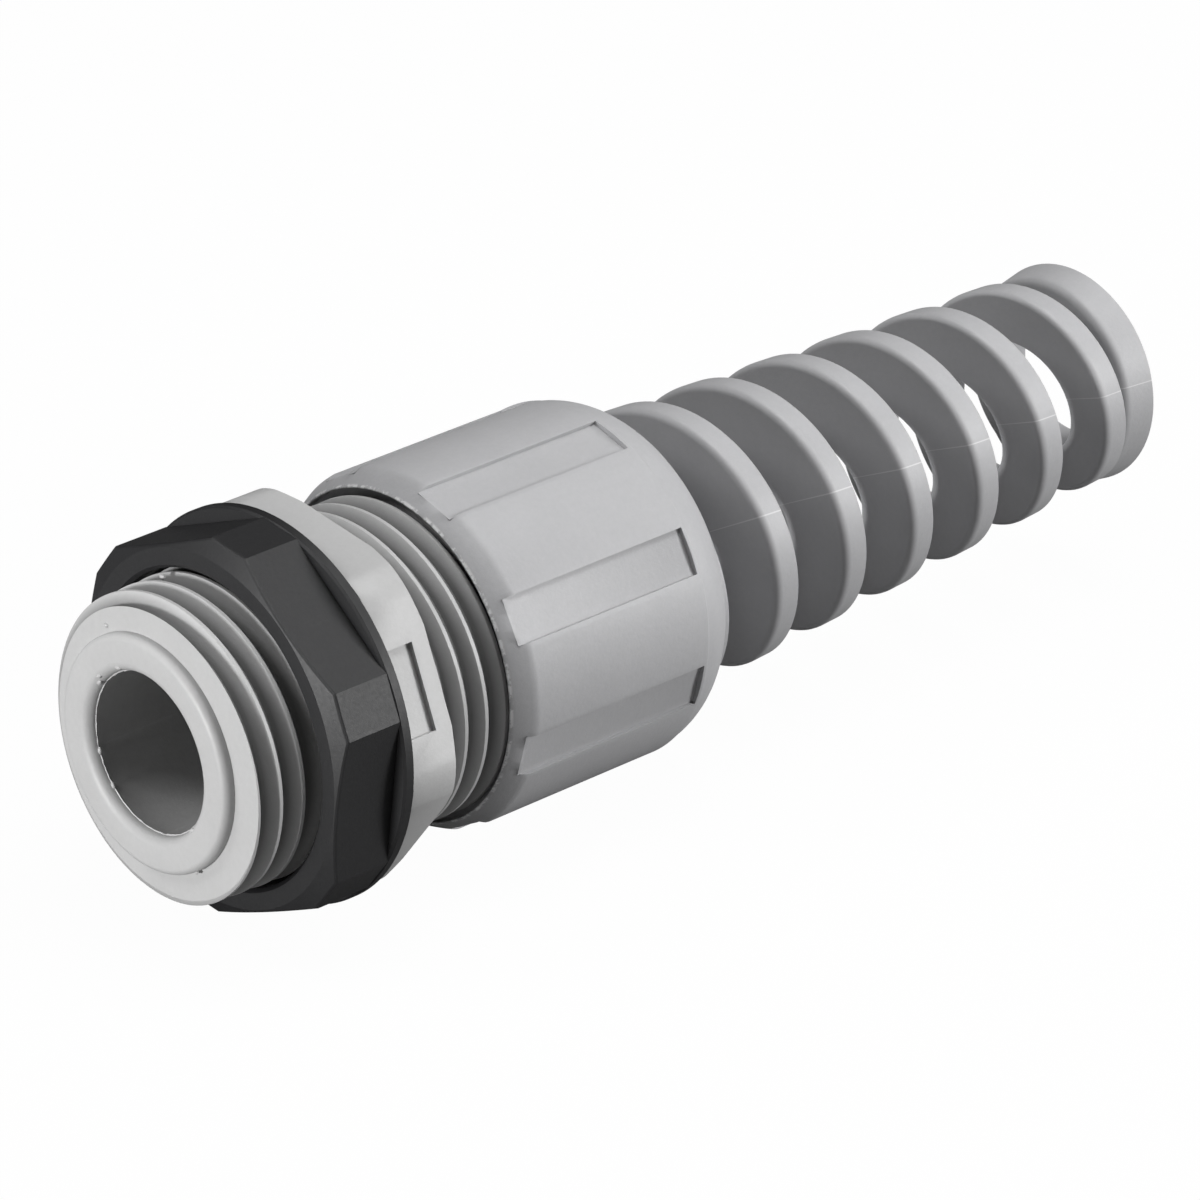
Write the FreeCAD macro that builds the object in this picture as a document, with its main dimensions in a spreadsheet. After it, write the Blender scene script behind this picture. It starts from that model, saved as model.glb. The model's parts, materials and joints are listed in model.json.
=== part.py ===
"""Liquid-tight cable gland with a spiral bend relief, half-inch taper pipe thread.

Sizes are in millimetres. The common axis of every piece lies along +X, +Z points up, and the origin is
the centre of the flat ring at the entry end. Each piece is modelled along its own +Z from its own front
face, and its Placement lays that axis down along +X at its station.
"""

import math
import os

import FreeCAD
import Part
import Sketcher

# Driving dimensions. Each entry becomes one cell of the spreadsheet, and its name is the alias.
DIMENSIONS = {
    # Entry end of the gland body
    "cable_bore_radius": 5.55,
    "bore_mouth_round": 0.75,
    "lip_radius": 8.1,
    "lip_height": 0.8,
    "lip_round": 0.5,
    "entry_thread_radius": 10.36,
    "entry_taper_per_length": 0.03125,
    "entry_thread_pitch": 1.814,
    "entry_groove_width": 1.5,
    "entry_groove_depth": 1.1,
    "entry_root_flat": 0.24,
    "entry_groove_at_start": -1.78,
    "entry_groove_length": 11.6,
    "entry_rim_thickness": 0.18,
    "entry_rim_overlap": 0.4,
    "entry_rim_standout": 0.02,
    # Hexagonal collar of the gland body
    "collar_front": 10.4,
    "collar_rear": 14.5,
    "collar_step_from_flange": 1.48,
    "collar_corner_round": 3.0,
    "collar_turn": 97.5,
    "collar_chamfer_standout": 0.45,
    "collar_chamfer_reach": 2.5,
    "collar_chamfer_length": 1.45,
    "panel_front": 10.9,
    "panel_rear": 13.2,
    "panel_width": 5.9,
    "panel_depth": 0.35,
    "panel_turn": 159.0,
    # Threaded stub that carries the dome nut
    "stub_end": 27.5,
    "stub_thread_radius": 11.0,
    "stub_thread_pitch": 1.75,
    "stub_groove_width": 1.4,
    "stub_groove_depth": 0.95,
    "stub_root_flat": 0.3,
    "stub_groove_at_start": 15.25,
    "stub_groove_length": 14.0,
    "stub_end_chamfer": 0.6,
    # Sealing bushing and its pocket in the stub
    "seat_front": 15.6,
    "seat_rear": 17.6,
    "pocket_radius": 8.4,
    "pocket_clearance": 0.04,
    "bushing_front": 16.2,
    "bushing_nose_radius": 6.3,
    "bushing_shoulder": 17.65,
    "bushing_bore_radius": 5.2,
    "bushing_standout": 0.5,
    "bushing_edge_chamfer": 0.8,
    # Locknut
    "locknut_front": 4.7,
    "locknut_half_flats": 12.4,
    "locknut_half_facets": 13.39,
    "locknut_turn": 127.5,
    "locknut_hex_length": 4.8,
    "locknut_flange_radius": 13.48,
    "locknut_flange_length": 0.86,
    "locknut_chamfer_radius": 12.2,
    "locknut_chamfer_reach": 2.6,
    "locknut_chamfer_length": 1.1,
    "locknut_bore_radius": 10.78,
    "locknut_mouth_chamfer": 0.25,
    # Dome nut
    "nut_front": 20.3,
    "nut_mouth_radius": 11.45,
    "nut_rim_radius": 11.85,
    "nut_grip_radius": 12.45,
    "nut_rim_length": 0.75,
    "nut_counterbore_length": 0.9,
    "nut_dome_start": 16.9,
    "nut_dome_end": 20.6,
    "nut_dome_end_radius": 9.3,
    "nut_dome_round": 4.1,
    "nut_minor_radius": 10.22,
    "nut_major_radius": 11.15,
    "nut_thread_end": 12.6,
    "nut_groove_mouth": 1.55,
    "nut_groove_root": 0.48,
    "nut_groove_at_start": -0.675,
    "nut_groove_length": 13.0,
    "nut_relief_radius": 11.2,
    "nut_seat": 13.5,
    "nut_seat_bore_radius": 7.0,
    "nut_throat": 15.6,
    # Recessed strips between the grip pads
    "strip_count": 8,
    "strip_half_flats": 11.95,
    "strip_width": 3.1,
    "strip_length": 16.5,
    "strip_turn": 151.0,
    # Spiral bend relief
    "spiral_bore_radius": 4.4,
    "coil_pitch": 6.78,
    "coil_thickness": 2.1,
    "coil_rear_at_start": 17.64,
    "coil_start_radius": 9.85,
    "coil_foot_radius": 3.9,
    "coil_taper_angle": -2.98,
    "coil_edge_round": 0.6,
    "coil_last_length": 6.1,
    "ring_front": 61.9,
    "ring_rear": 64.9,
    "ring_front_radius": 7.65,
    "ring_rear_radius": 7.95,
    "ring_edge_round": 0.6,
    "ring_bore_radius": 4.6,
    # Slip ring between the bushing and the dome nut
    "slip_ring_radius": 9.3,
    "slip_ring_bore_radius": 5.6,
    "slip_ring_thickness": 1.2,
    "slip_ring_clearance": 0.04,
    # Half the angle of a hexagon's side, and how far a cutting outline reaches past the piece
    "hexagon_half_step": 30.0,
    "cut_reach": 3.6,
}

# Cells worked out from the driving ones.
DERIVED = {
    "zero": "=0",
    "lip_front": "=-lip_height",
    "lip_flat_start": "=cable_bore_radius + bore_mouth_round",
    "bore_mouth_end": "=bore_mouth_round - lip_height",
    "lip_flat_end": "=lip_radius - lip_round",
    "lip_round_end": "=lip_round - lip_height",
    "rim_inner_radius": "=lip_radius + entry_rim_overlap",
    "rim_outer_radius": "=entry_thread_radius + entry_rim_standout",
    "collar_half_flats": "=locknut_flange_radius - collar_step_from_flange",
    "collar_chamfer_radius": "=collar_half_flats + collar_chamfer_standout",
    "collar_blank_radius": "=entry_thread_radius + entry_taper_per_length * collar_front",
    "collar_cut_radius": "=collar_chamfer_radius + collar_chamfer_reach",
    "collar_cut_start": "=collar_rear - collar_chamfer_length",
    "collar_length": "=collar_rear - collar_front",
    "panel_floor": "=collar_half_flats - panel_depth",
    "panel_length": "=panel_rear - panel_front",
    "panel_half_width": "=panel_width / 2",
    "panel_other_half": "=-panel_width / 2",
    "panel_top": "=collar_half_flats + cut_reach",
    "entry_groove_outside": "=entry_thread_radius + entry_taper_per_length * entry_groove_at_start",
    "entry_groove_floor": "=entry_groove_outside - entry_groove_depth",
    "entry_groove_low": "=entry_groove_at_start - entry_groove_width / 2",
    "entry_groove_high": "=entry_groove_at_start + entry_groove_width / 2",
    "entry_root_low": "=entry_groove_at_start - entry_root_flat / 2",
    "entry_root_high": "=entry_groove_at_start + entry_root_flat / 2",
    "stub_groove_floor": "=stub_thread_radius - stub_groove_depth",
    "stub_groove_low": "=stub_groove_at_start - stub_groove_width / 2",
    "stub_groove_high": "=stub_groove_at_start + stub_groove_width / 2",
    "stub_root_low": "=stub_groove_at_start - stub_root_flat / 2",
    "stub_root_high": "=stub_groove_at_start + stub_root_flat / 2",
    "stub_chamfer_start": "=stub_end - stub_end_chamfer",
    "stub_chamfer_radius": "=stub_thread_radius - stub_end_chamfer",
    "bushing_radius": "=pocket_radius - pocket_clearance",
    "bushing_end": "=stub_end + bushing_standout",
    "locknut_rear": "=locknut_hex_length + locknut_flange_length",
    "locknut_facet_turn": "=locknut_turn + hexagon_half_step",
    "locknut_cut_radius": "=locknut_chamfer_radius + locknut_chamfer_reach",
    "locknut_outer_radius": "=locknut_half_flats + cut_reach",
    "locknut_mouth_radius": "=locknut_bore_radius + locknut_mouth_chamfer",
    "slip_ring_front": "=nut_front + nut_seat - slip_ring_thickness - slip_ring_clearance",
    "coil_shrink_per_turn": "=coil_pitch * tan(coil_taper_angle)",
    "coil_front_at_start": "=coil_rear_at_start - coil_thickness",
    "coil_flat_start": "=coil_rear_at_start - coil_thickness + coil_edge_round",
    "coil_round_radius": "=coil_start_radius - coil_edge_round",
    "ring_flat_start": "=ring_front + ring_edge_round",
    "ring_round_radius": "=ring_front_radius - ring_edge_round",
    "nut_groove_low": "=nut_groove_at_start - nut_groove_mouth / 2",
    "nut_groove_high": "=nut_groove_at_start + nut_groove_mouth / 2",
    "nut_root_low": "=nut_groove_at_start - nut_groove_root / 2",
    "nut_root_high": "=nut_groove_at_start + nut_groove_root / 2",
    "strip_half_width": "=strip_width / 2",
    "strip_other_half": "=-strip_width / 2",
    "strip_top": "=nut_grip_radius + cut_reach",
    "bushing_chamfer_start": "=bushing_end - bushing_edge_chamfer",
    "bushing_chamfer_radius": "=bushing_radius - bushing_edge_chamfer",
    "slip_ring_rear": "=slip_ring_thickness",
}

OUTPUT_FOLDER = "parts"
SHORT_EDGE = 1.0
FULL_TURN = 360.0
HEX_SIDES = 6
COIL_TURNS = 7
# A third of a turn about the space diagonal takes +Z to +X, +X to +Y and +Y to +Z.
LYING_DOWN = FreeCAD.Rotation(FreeCAD.Vector(1, 1, 1), FULL_TURN / 3)
PARALLEL = 1e-6


def make_sheet(document):
    """The spreadsheet that drives the model: one row for each dimension."""
    sheet = document.addObject("Spreadsheet::Sheet", "Dimensions")
    row = 1
    for alias, value in list(DIMENSIONS.items()) + list(DERIVED.items()):
        sheet.set(f"A{row}", alias)
        sheet.set(f"B{row}", str(value))
        sheet.setAlias(f"B{row}", alias)
        row += 1
    document.recompute()
    return sheet


def cell(alias):
    """The expression that reads one cell of the spreadsheet."""
    return f"Dimensions.{alias}"


def value_of(owner, alias):
    """The number in one cell of the spreadsheet."""
    return owner.Document.Dimensions.get(alias)


def start_body(document, name):
    """An empty body for one piece, named like its file."""
    body = document.addObject("PartDesign::Body", name)
    body.Label = name
    return body


def own_feature(body, role):
    """One of the planes or axes that every body has of its own."""
    return next(part for part in body.Origin.OriginFeatures if part.Role == role)


def sketch_on(body, name, role, turn=None, lift=None):
    """A sketch on one of the body's own planes, turned round the axis or lifted along it."""
    sketch = body.newObject("Sketcher::SketchObject", name)
    sketch.AttachmentSupport = [(own_feature(body, role), "")]
    sketch.MapMode = "FlatFace"
    if turn:
        sketch.setExpression(".AttachmentOffset.Rotation.Angle", cell(turn))
    if lift:
        sketch.setExpression(".AttachmentOffset.Base.z", cell(lift))
    return sketch


def bind(sketch, index, alias):
    """Drive one constraint of a sketch from a cell."""
    sketch.setExpression(f"Constraints[{index}]", cell(alias))


def arc_between(start, end, radius):
    """A circular arc that runs counter-clockwise from start to end."""
    half = (end - start) * 0.5
    rise = math.sqrt(max(radius * radius - half.Length * half.Length, 0.0))
    inward = FreeCAD.Vector(-half.y, half.x, 0).normalize()
    centre = start + half + inward * rise
    first = math.atan2(start.y - centre.y, start.x - centre.x)
    last = math.atan2(end.y - centre.y, end.x - centre.x)
    circle = Part.Circle(centre, FreeCAD.Vector(0, 0, 1), radius)
    return Part.ArcOfCircle(circle, first, last)


def draw_profile(sketch, corners, rounds=None):
    """A closed outline through corners named by their cells, run counter-clockwise.

    rounds gives {side: radius cell} for the sides that are arcs and not straight lines.
    """
    rounds = rounds or {}
    points = [
        FreeCAD.Vector(value_of(sketch, across), value_of(sketch, along), 0)
        for across, along in corners
    ]
    count = len(points)
    for side, start in enumerate(points):
        end = points[(side + 1) % count]
        if side in rounds:
            sketch.addGeometry(arc_between(start, end, value_of(sketch, rounds[side])))
        else:
            sketch.addGeometry(Part.LineSegment(start, end))
    for side in range(count):
        sketch.addConstraint(Sketcher.Constraint("Coincident", side, 2, (side + 1) % count, 1))
    for side, corner in enumerate(corners):
        for kind, alias in zip(("DistanceX", "DistanceY"), corner):
            place = Sketcher.Constraint(kind, -1, 1, side, 1, value_of(sketch, alias))
            bind(sketch, sketch.addConstraint(place), alias)
    for side, alias in rounds.items():
        size = Sketcher.Constraint("Radius", side, value_of(sketch, alias))
        bind(sketch, sketch.addConstraint(size), alias)


def draw_circle(sketch, alias):
    """A circle round the axis whose radius is read from one cell."""
    circle = Part.Circle(FreeCAD.Vector(), FreeCAD.Vector(0, 0, 1), value_of(sketch, alias))
    index = sketch.addGeometry(circle)
    sketch.addConstraint(Sketcher.Constraint("Coincident", index, 3, -1, 1))
    size = Sketcher.Constraint("Radius", index, value_of(sketch, alias))
    bind(sketch, sketch.addConstraint(size), alias)


def draw_hexagon(sketch, alias):
    """A regular hexagon round the axis; the cell holds the distance from the axis to a side."""
    half = value_of(sketch, alias)
    reach = half / math.cos(math.pi / HEX_SIDES)
    corners = []
    for step in range(HEX_SIDES):
        angle = (step - 0.5) * 2 * math.pi / HEX_SIDES
        corners.append(FreeCAD.Vector(reach * math.cos(angle), reach * math.sin(angle), 0))
    first = sketch.GeometryCount
    for step, start in enumerate(corners):
        sketch.addGeometry(Part.LineSegment(start, corners[(step + 1) % HEX_SIDES]))
    ring = sketch.addGeometry(Part.Circle(FreeCAD.Vector(), FreeCAD.Vector(0, 0, 1), reach), True)
    sketch.addConstraint(Sketcher.Constraint("Coincident", ring, 3, -1, 1))
    for step in range(HEX_SIDES):
        side = first + step
        following = first + (step + 1) % HEX_SIDES
        sketch.addConstraint(Sketcher.Constraint("Coincident", side, 2, following, 1))
        sketch.addConstraint(Sketcher.Constraint("PointOnObject", side, 1, ring))
        if step:
            sketch.addConstraint(Sketcher.Constraint("Equal", first, side))
    sketch.addConstraint(Sketcher.Constraint("Vertical", first))
    size = Sketcher.Constraint("Distance", -1, 1, first, half)
    bind(sketch, sketch.addConstraint(size), alias)


def revolve(body, name, corners, rounds=None, cut=False):
    """A turned feature: the outline of half a section, revolved round the piece's axis."""
    sketch = sketch_on(body, name + "_section", "XZ_Plane")
    draw_profile(sketch, corners, rounds)
    kind = "PartDesign::Groove" if cut else "PartDesign::Revolution"
    feature = body.newObject(kind, name)
    feature.Profile = sketch
    feature.ReferenceAxis = (sketch, ["V_Axis"])
    feature.Angle = FULL_TURN
    body.Document.recompute()
    return feature


def extrude(body, name, draw, length, turn=None, lift=None, cut=False):
    """A straight feature along the axis, from an outline drawn square to it."""
    sketch = sketch_on(body, name + "_outline", "XY_Plane", turn, lift)
    draw(sketch)
    feature = body.newObject("PartDesign::Pocket" if cut else "PartDesign::Pad", name)
    feature.Profile = sketch
    feature.setExpression("Length", cell(length))
    feature.Reversed = cut
    body.Document.recompute()
    return feature


def helix(body, name, corners, rounds, pitch, length, taper=None, cut=False):
    """A screw-shaped feature: one section swept round and along the axis."""
    sketch = sketch_on(body, name + "_section", "XZ_Plane")
    draw_profile(sketch, corners, rounds)
    kind = "PartDesign::SubtractiveHelix" if cut else "PartDesign::AdditiveHelix"
    feature = body.newObject(kind, name)
    feature.Profile = sketch
    feature.ReferenceAxis = (own_feature(body, "Z_Axis"), [""])
    feature.Mode = "pitch-height-angle"
    feature.setExpression("Pitch", cell(pitch))
    feature.setExpression("Height", cell(length))
    if taper:
        feature.setExpression("Angle", taper)
    body.Document.recompute()
    return feature


def lay_down(body, station=None):
    """Turn the piece's own +Z to the common +X and move it to its station."""
    body.Placement = FreeCAD.Placement(FreeCAD.Vector(), LYING_DOWN)
    if station:
        body.setExpression(".Placement.Base.x", cell(station))


def round_edges(body, name, wanted, radius):
    """A fillet on the edges of the newest feature that the given test picks."""
    before = body.Tip
    names = [f"Edge{place + 1}" for place, edge in enumerate(before.Shape.Edges) if wanted(edge)]
    fillet = body.newObject("PartDesign::Fillet", name)
    fillet.Base = (before, names)
    fillet.setExpression("Radius", cell(radius))
    body.Document.recompute()
    return fillet


def runs_along_axis(edge):
    """Whether an edge is straight and parallel to the piece's own axis."""
    start, end = edge.Vertexes[0].Point, edge.Vertexes[-1].Point
    return edge.Length > SHORT_EDGE and math.hypot(end.x - start.x, end.y - start.y) < PARALLEL


# Gland body
# One moulding: lip, tapered entry thread, hexagonal collar and the stub for the dome nut.
def make_gland_body(document):
    body = start_body(document, "gland_body")
    extrude(body, "collar", lambda s: draw_hexagon(s, "collar_half_flats"), "collar_length",
            "collar_turn", "collar_front")
    round_edges(body, "collar_corners", runs_along_axis, "collar_corner_round")
    revolve(body, "collar_rear_chamfer", [
        ("collar_chamfer_radius", "collar_rear"), ("collar_cut_radius", "collar_cut_start"),
        ("collar_cut_radius", "collar_rear"),
    ], cut=True)
    revolve(body, "turned_body", [
        ("cable_bore_radius", "bore_mouth_end"), ("lip_flat_start", "lip_front"),
        ("lip_flat_end", "lip_front"), ("lip_radius", "lip_round_end"), ("lip_radius", "zero"),
        ("entry_thread_radius", "zero"), ("collar_blank_radius", "collar_front"),
        ("stub_thread_radius", "collar_front"), ("stub_thread_radius", "stub_chamfer_start"),
        ("stub_chamfer_radius", "stub_end"), ("pocket_radius", "stub_end"),
        ("pocket_radius", "seat_rear"), ("cable_bore_radius", "seat_front"),
    ], {0: "bore_mouth_round", 2: "lip_round"})
    extrude(body, "bore", lambda s: draw_circle(s, "cable_bore_radius"), "collar_rear", cut=True)
    cut_panel(body)
    helix(body, "entry_thread", [
        ("entry_groove_floor", "entry_root_low"), ("entry_groove_outside", "entry_groove_low"),
        ("entry_groove_outside", "entry_groove_high"), ("entry_groove_floor", "entry_root_high"),
    ], None, "entry_thread_pitch", "entry_groove_length",
        "atan(Dimensions.entry_taper_per_length)", cut=True)
    helix(body, "stub_thread", [
        ("stub_groove_floor", "stub_root_low"), ("stub_thread_radius", "stub_groove_low"),
        ("stub_thread_radius", "stub_groove_high"), ("stub_groove_floor", "stub_root_high"),
    ], None, "stub_thread_pitch", "stub_groove_length", cut=True)
    revolve(body, "entry_rim", [
        ("rim_inner_radius", "zero"), ("rim_outer_radius", "zero"),
        ("rim_outer_radius", "entry_rim_thickness"), ("rim_inner_radius", "entry_rim_thickness"),
    ])
    lay_down(body)
    return body


def cut_panel(body):
    """The shallow recessed panel on one flat of the collar."""
    extrude(body, "panel", lambda s: draw_profile(s, [
        ("panel_floor", "panel_other_half"), ("panel_top", "panel_other_half"),
        ("panel_top", "panel_half_width"), ("panel_floor", "panel_half_width"),
    ]), "panel_length", "panel_turn", "panel_front", cut=True)


# Locknut
# A hexagon with flat facets on its corners, standing on a thin round flange.
def make_locknut(document):
    body = start_body(document, "locknut")
    extrude(body, "hexagon", lambda s: draw_hexagon(s, "locknut_half_flats"),
            "locknut_hex_length", "locknut_turn")

    def outside_facets(sketch):
        draw_circle(sketch, "locknut_outer_radius")
        draw_hexagon(sketch, "locknut_half_facets")

    extrude(body, "corner_facets", outside_facets, "locknut_hex_length", "locknut_facet_turn",
            cut=True)
    extrude(body, "flange", lambda s: draw_circle(s, "locknut_flange_radius"),
            "locknut_flange_length", lift="locknut_hex_length")
    revolve(body, "front_chamfer", [
        ("locknut_chamfer_radius", "zero"), ("locknut_cut_radius", "zero"),
        ("locknut_cut_radius", "locknut_chamfer_length"),
    ], cut=True)
    revolve(body, "bore", [
        ("zero", "zero"), ("locknut_mouth_radius", "zero"),
        ("locknut_bore_radius", "locknut_mouth_chamfer"), ("locknut_bore_radius", "locknut_rear"),
        ("zero", "locknut_rear"),
    ], cut=True)
    lay_down(body, "locknut_front")
    return body


# Dome nut and spiral
# One moulding: grip pads, rounded dome, the spiral bend relief and its end ring.
def make_spiral_dome_nut(document):
    body = start_body(document, "spiral_dome_nut")
    revolve(body, "cap", [
        ("nut_mouth_radius", "zero"), ("nut_rim_radius", "zero"),
        ("nut_grip_radius", "nut_rim_length"), ("nut_grip_radius", "nut_dome_start"),
        ("nut_dome_end_radius", "nut_dome_end"), ("spiral_bore_radius", "nut_dome_end"),
        ("spiral_bore_radius", "nut_throat"), ("nut_seat_bore_radius", "nut_seat"),
        ("nut_relief_radius", "nut_seat"), ("nut_relief_radius", "nut_thread_end"),
        ("nut_minor_radius", "nut_thread_end"), ("nut_minor_radius", "nut_counterbore_length"),
        ("nut_mouth_radius", "nut_counterbore_length"),
    ], {3: "nut_dome_round"})
    cut_strips(body)
    helix(body, "inner_thread", [
        ("nut_minor_radius", "nut_groove_low"), ("nut_major_radius", "nut_root_low"),
        ("nut_major_radius", "nut_root_high"), ("nut_minor_radius", "nut_groove_high"),
    ], None, "stub_thread_pitch", "nut_groove_length", cut=True)
    revolve(body, "end_ring", [
        ("coil_foot_radius", "ring_front"), ("ring_round_radius", "ring_front"),
        ("ring_front_radius", "ring_flat_start"), ("ring_rear_radius", "ring_rear"),
        ("coil_foot_radius", "ring_rear"),
    ], {1: "ring_edge_round"})
    wind_coil(body)
    revolve(body, "spiral_bore", [
        ("zero", "nut_throat"), ("spiral_bore_radius", "nut_throat"),
        ("spiral_bore_radius", "ring_rear"), ("zero", "ring_rear"),
    ], cut=True)
    revolve(body, "ring_bore", [
        ("zero", "ring_front"), ("ring_bore_radius", "ring_front"),
        ("ring_bore_radius", "ring_rear"), ("zero", "ring_rear"),
    ], cut=True)
    lay_down(body, "nut_front")
    return body


def wind_coil(body):
    """The spiral, one tapering turn after another, each starting on the end of the one before."""
    for turn in range(COIL_TURNS):
        last = turn == COIL_TURNS - 1
        coil = helix(body, "coil_turn", [
            ("coil_foot_radius", "coil_front_at_start"),
            ("coil_round_radius", "coil_front_at_start"), ("coil_start_radius", "coil_flat_start"),
            ("coil_start_radius", "coil_rear_at_start"), ("coil_foot_radius", "coil_rear_at_start"),
        ], {1: "coil_edge_round"}, "coil_pitch", "coil_last_length" if last else "coil_pitch",
            cell("coil_taper_angle"))
        section = coil.Profile[0]
        section.setExpression(".AttachmentOffset.Base.x", f"{turn} * {cell('coil_shrink_per_turn')}")
        section.setExpression(".AttachmentOffset.Base.y", f"{turn} * {cell('coil_pitch')}")
        body.Document.recompute()


def cut_strips(body):
    """Flat strips between the grip pads, open at the mouth and ended by a step."""
    strip = extrude(body, "strip", lambda s: draw_profile(s, [
        ("strip_half_flats", "strip_other_half"), ("strip_top", "strip_other_half"),
        ("strip_top", "strip_half_width"), ("strip_half_flats", "strip_half_width"),
    ]), "strip_length", "strip_turn", cut=True)
    pattern = body.newObject("PartDesign::PolarPattern", "strips")
    pattern.Originals = [strip]
    pattern.Axis = (strip.Profile[0], ["N_Axis"])
    pattern.Angle = FULL_TURN
    body.Tip = pattern
    pattern.setExpression("Occurrences", cell("strip_count"))
    body.Document.recompute()


# Sealing bushing
# A rubber sleeve in the pocket of the stub, squeezed on the cable when the dome nut is tightened.
def make_sealing_bushing(document):
    body = start_body(document, "sealing_bushing")
    revolve(body, "sleeve", [
        ("bushing_bore_radius", "bushing_front"), ("bushing_nose_radius", "bushing_front"),
        ("bushing_radius", "bushing_shoulder"), ("bushing_radius", "bushing_chamfer_start"),
        ("bushing_chamfer_radius", "bushing_end"), ("bushing_bore_radius", "bushing_end"),
    ])
    lay_down(body)
    return body


# Slip ring
# A plain washer behind the bushing, so that the turning dome nut doesn't twist the rubber.
def make_slip_ring(document):
    body = start_body(document, "slip_ring")
    revolve(body, "washer", [
        ("slip_ring_bore_radius", "zero"), ("slip_ring_radius", "zero"),
        ("slip_ring_radius", "slip_ring_rear"), ("slip_ring_bore_radius", "slip_ring_rear"),
    ])
    lay_down(body, "slip_ring_front")
    return body


def check_and_export(document, bodies):
    """Stop on any broken feature, then write one STEP file for each piece."""
    document.recompute()
    for item in document.Objects:
        if "Invalid" in item.State or "Error" in item.State:
            raise RuntimeError(f"{item.Label} did not build: {item.State}")
        shape = getattr(item, "Shape", None)
        if shape is not None and not item.isDerivedFrom("App::DatumElement"):
            if shape.isNull() or not shape.isValid():
                raise RuntimeError(f"{item.Label} has no valid shape")
    os.makedirs(OUTPUT_FOLDER, exist_ok=True)
    for body in bodies:
        if len(body.Shape.Solids) != 1:
            raise RuntimeError(f"{body.Label} is not one solid")
        body.Shape.exportStep(os.path.join(OUTPUT_FOLDER, body.Label + ".step"))
        print(f"{body.Label}: {body.Shape.Volume:.0f} mm3")


def main():
    document = FreeCAD.newDocument("cable_gland")
    make_sheet(document)
    bodies = [
        make_gland_body(document),
        make_locknut(document),
        make_sealing_bushing(document),
        make_slip_ring(document),
        make_spiral_dome_nut(document),
    ]
    check_and_export(document, bodies)


main()
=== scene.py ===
# %% [markdown]
# A cable gland with a spiral bend relief, dressed for its picture.
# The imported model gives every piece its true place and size. Here the three pieces that show are
# modelled again with fine edges and smooth turned surfaces, and each one gets a moulded finish. The two
# hidden ones, a rubber bushing and a slip ring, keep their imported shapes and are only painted.

# %% The frame
import json
import math
import bpy
from mathutils import Matrix, Vector

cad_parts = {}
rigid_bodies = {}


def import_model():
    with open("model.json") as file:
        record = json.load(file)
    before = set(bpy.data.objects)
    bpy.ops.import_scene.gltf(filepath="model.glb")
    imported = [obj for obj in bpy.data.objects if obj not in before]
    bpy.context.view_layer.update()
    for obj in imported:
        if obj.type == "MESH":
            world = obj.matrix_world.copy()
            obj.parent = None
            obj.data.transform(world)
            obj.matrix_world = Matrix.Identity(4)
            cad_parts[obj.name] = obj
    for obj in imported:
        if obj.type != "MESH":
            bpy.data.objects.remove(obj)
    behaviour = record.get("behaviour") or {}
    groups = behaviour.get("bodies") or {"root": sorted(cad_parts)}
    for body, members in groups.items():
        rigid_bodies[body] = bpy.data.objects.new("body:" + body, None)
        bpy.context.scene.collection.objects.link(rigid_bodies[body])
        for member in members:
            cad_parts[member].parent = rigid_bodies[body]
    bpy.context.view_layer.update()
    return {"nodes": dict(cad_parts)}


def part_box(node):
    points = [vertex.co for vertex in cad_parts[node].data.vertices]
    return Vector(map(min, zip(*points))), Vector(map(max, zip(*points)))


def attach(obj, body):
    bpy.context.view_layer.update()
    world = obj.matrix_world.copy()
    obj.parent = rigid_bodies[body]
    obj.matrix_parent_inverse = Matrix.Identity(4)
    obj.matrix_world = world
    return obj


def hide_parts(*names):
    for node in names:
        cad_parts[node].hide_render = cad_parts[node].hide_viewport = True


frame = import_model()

MM = 0.001
print("frame:", sorted(frame["nodes"]))

# %% [markdown]
# Work by hand in Blender is: select something, then run an operator on it. A script does the same, but it
# has to say what is selected every time, so these helpers come first. Loading the frame leaves its pieces
# selected, and an operator would act on all of them.

# %% Selecting
print("selected after loading:", len(bpy.context.selected_objects), "objects")


def only(*pieces):
    """Leaves edit mode and selects only these objects; the first one is active."""
    if bpy.context.object and bpy.context.object.mode == "EDIT":
        bpy.ops.object.mode_set(mode="OBJECT")
    bpy.ops.object.select_all(action="DESELECT")
    for piece in pieces:
        piece.select_set(True)
    bpy.context.view_layer.objects.active = pieces[0]
    return pieces[0]


def edit(piece, mode="VERT", select="DESELECT"):
    """Opens one piece in edit mode with nothing selected, or everything."""
    only(piece)
    bpy.ops.object.mode_set(mode="EDIT")
    bpy.ops.mesh.select_mode(type=mode)
    bpy.ops.mesh.select_all(action=select)


def pick(piece, kind, test):
    """Selects the vertices, edges or faces whose place passes the test, and opens edit mode."""
    edit(piece, kind)
    bpy.ops.object.mode_set(mode="OBJECT")
    mesh = piece.data
    if kind == "VERT":
        for corner in mesh.vertices:
            corner.select = bool(test(corner.co / MM))
    elif kind == "EDGE":
        for side in mesh.edges:
            side.select = bool(test(*(mesh.vertices[i].co / MM for i in side.vertices)))
    else:
        for face in mesh.polygons:
            face.select = bool(test(face.center / MM))
    bpy.ops.object.mode_set(mode="EDIT")


def close_up(piece):
    """Merges double points and turns all faces outwards."""
    edit(piece, select="SELECT")
    bpy.ops.mesh.remove_doubles(threshold=0.002 * MM)
    bpy.ops.mesh.normals_make_consistent(inside=False)
    bpy.ops.object.mode_set(mode="OBJECT")
    return piece


# %% [markdown]
# All the pieces share one axis, and each is easiest to model standing up, with that axis along its own Z
# and its front end at zero. At the end it is laid down along X and pushed to its station, which is read
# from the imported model, so nothing is fitted by eye. Every size below is in millimetres, and every angle
# that places something round the axis is in degrees.

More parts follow.
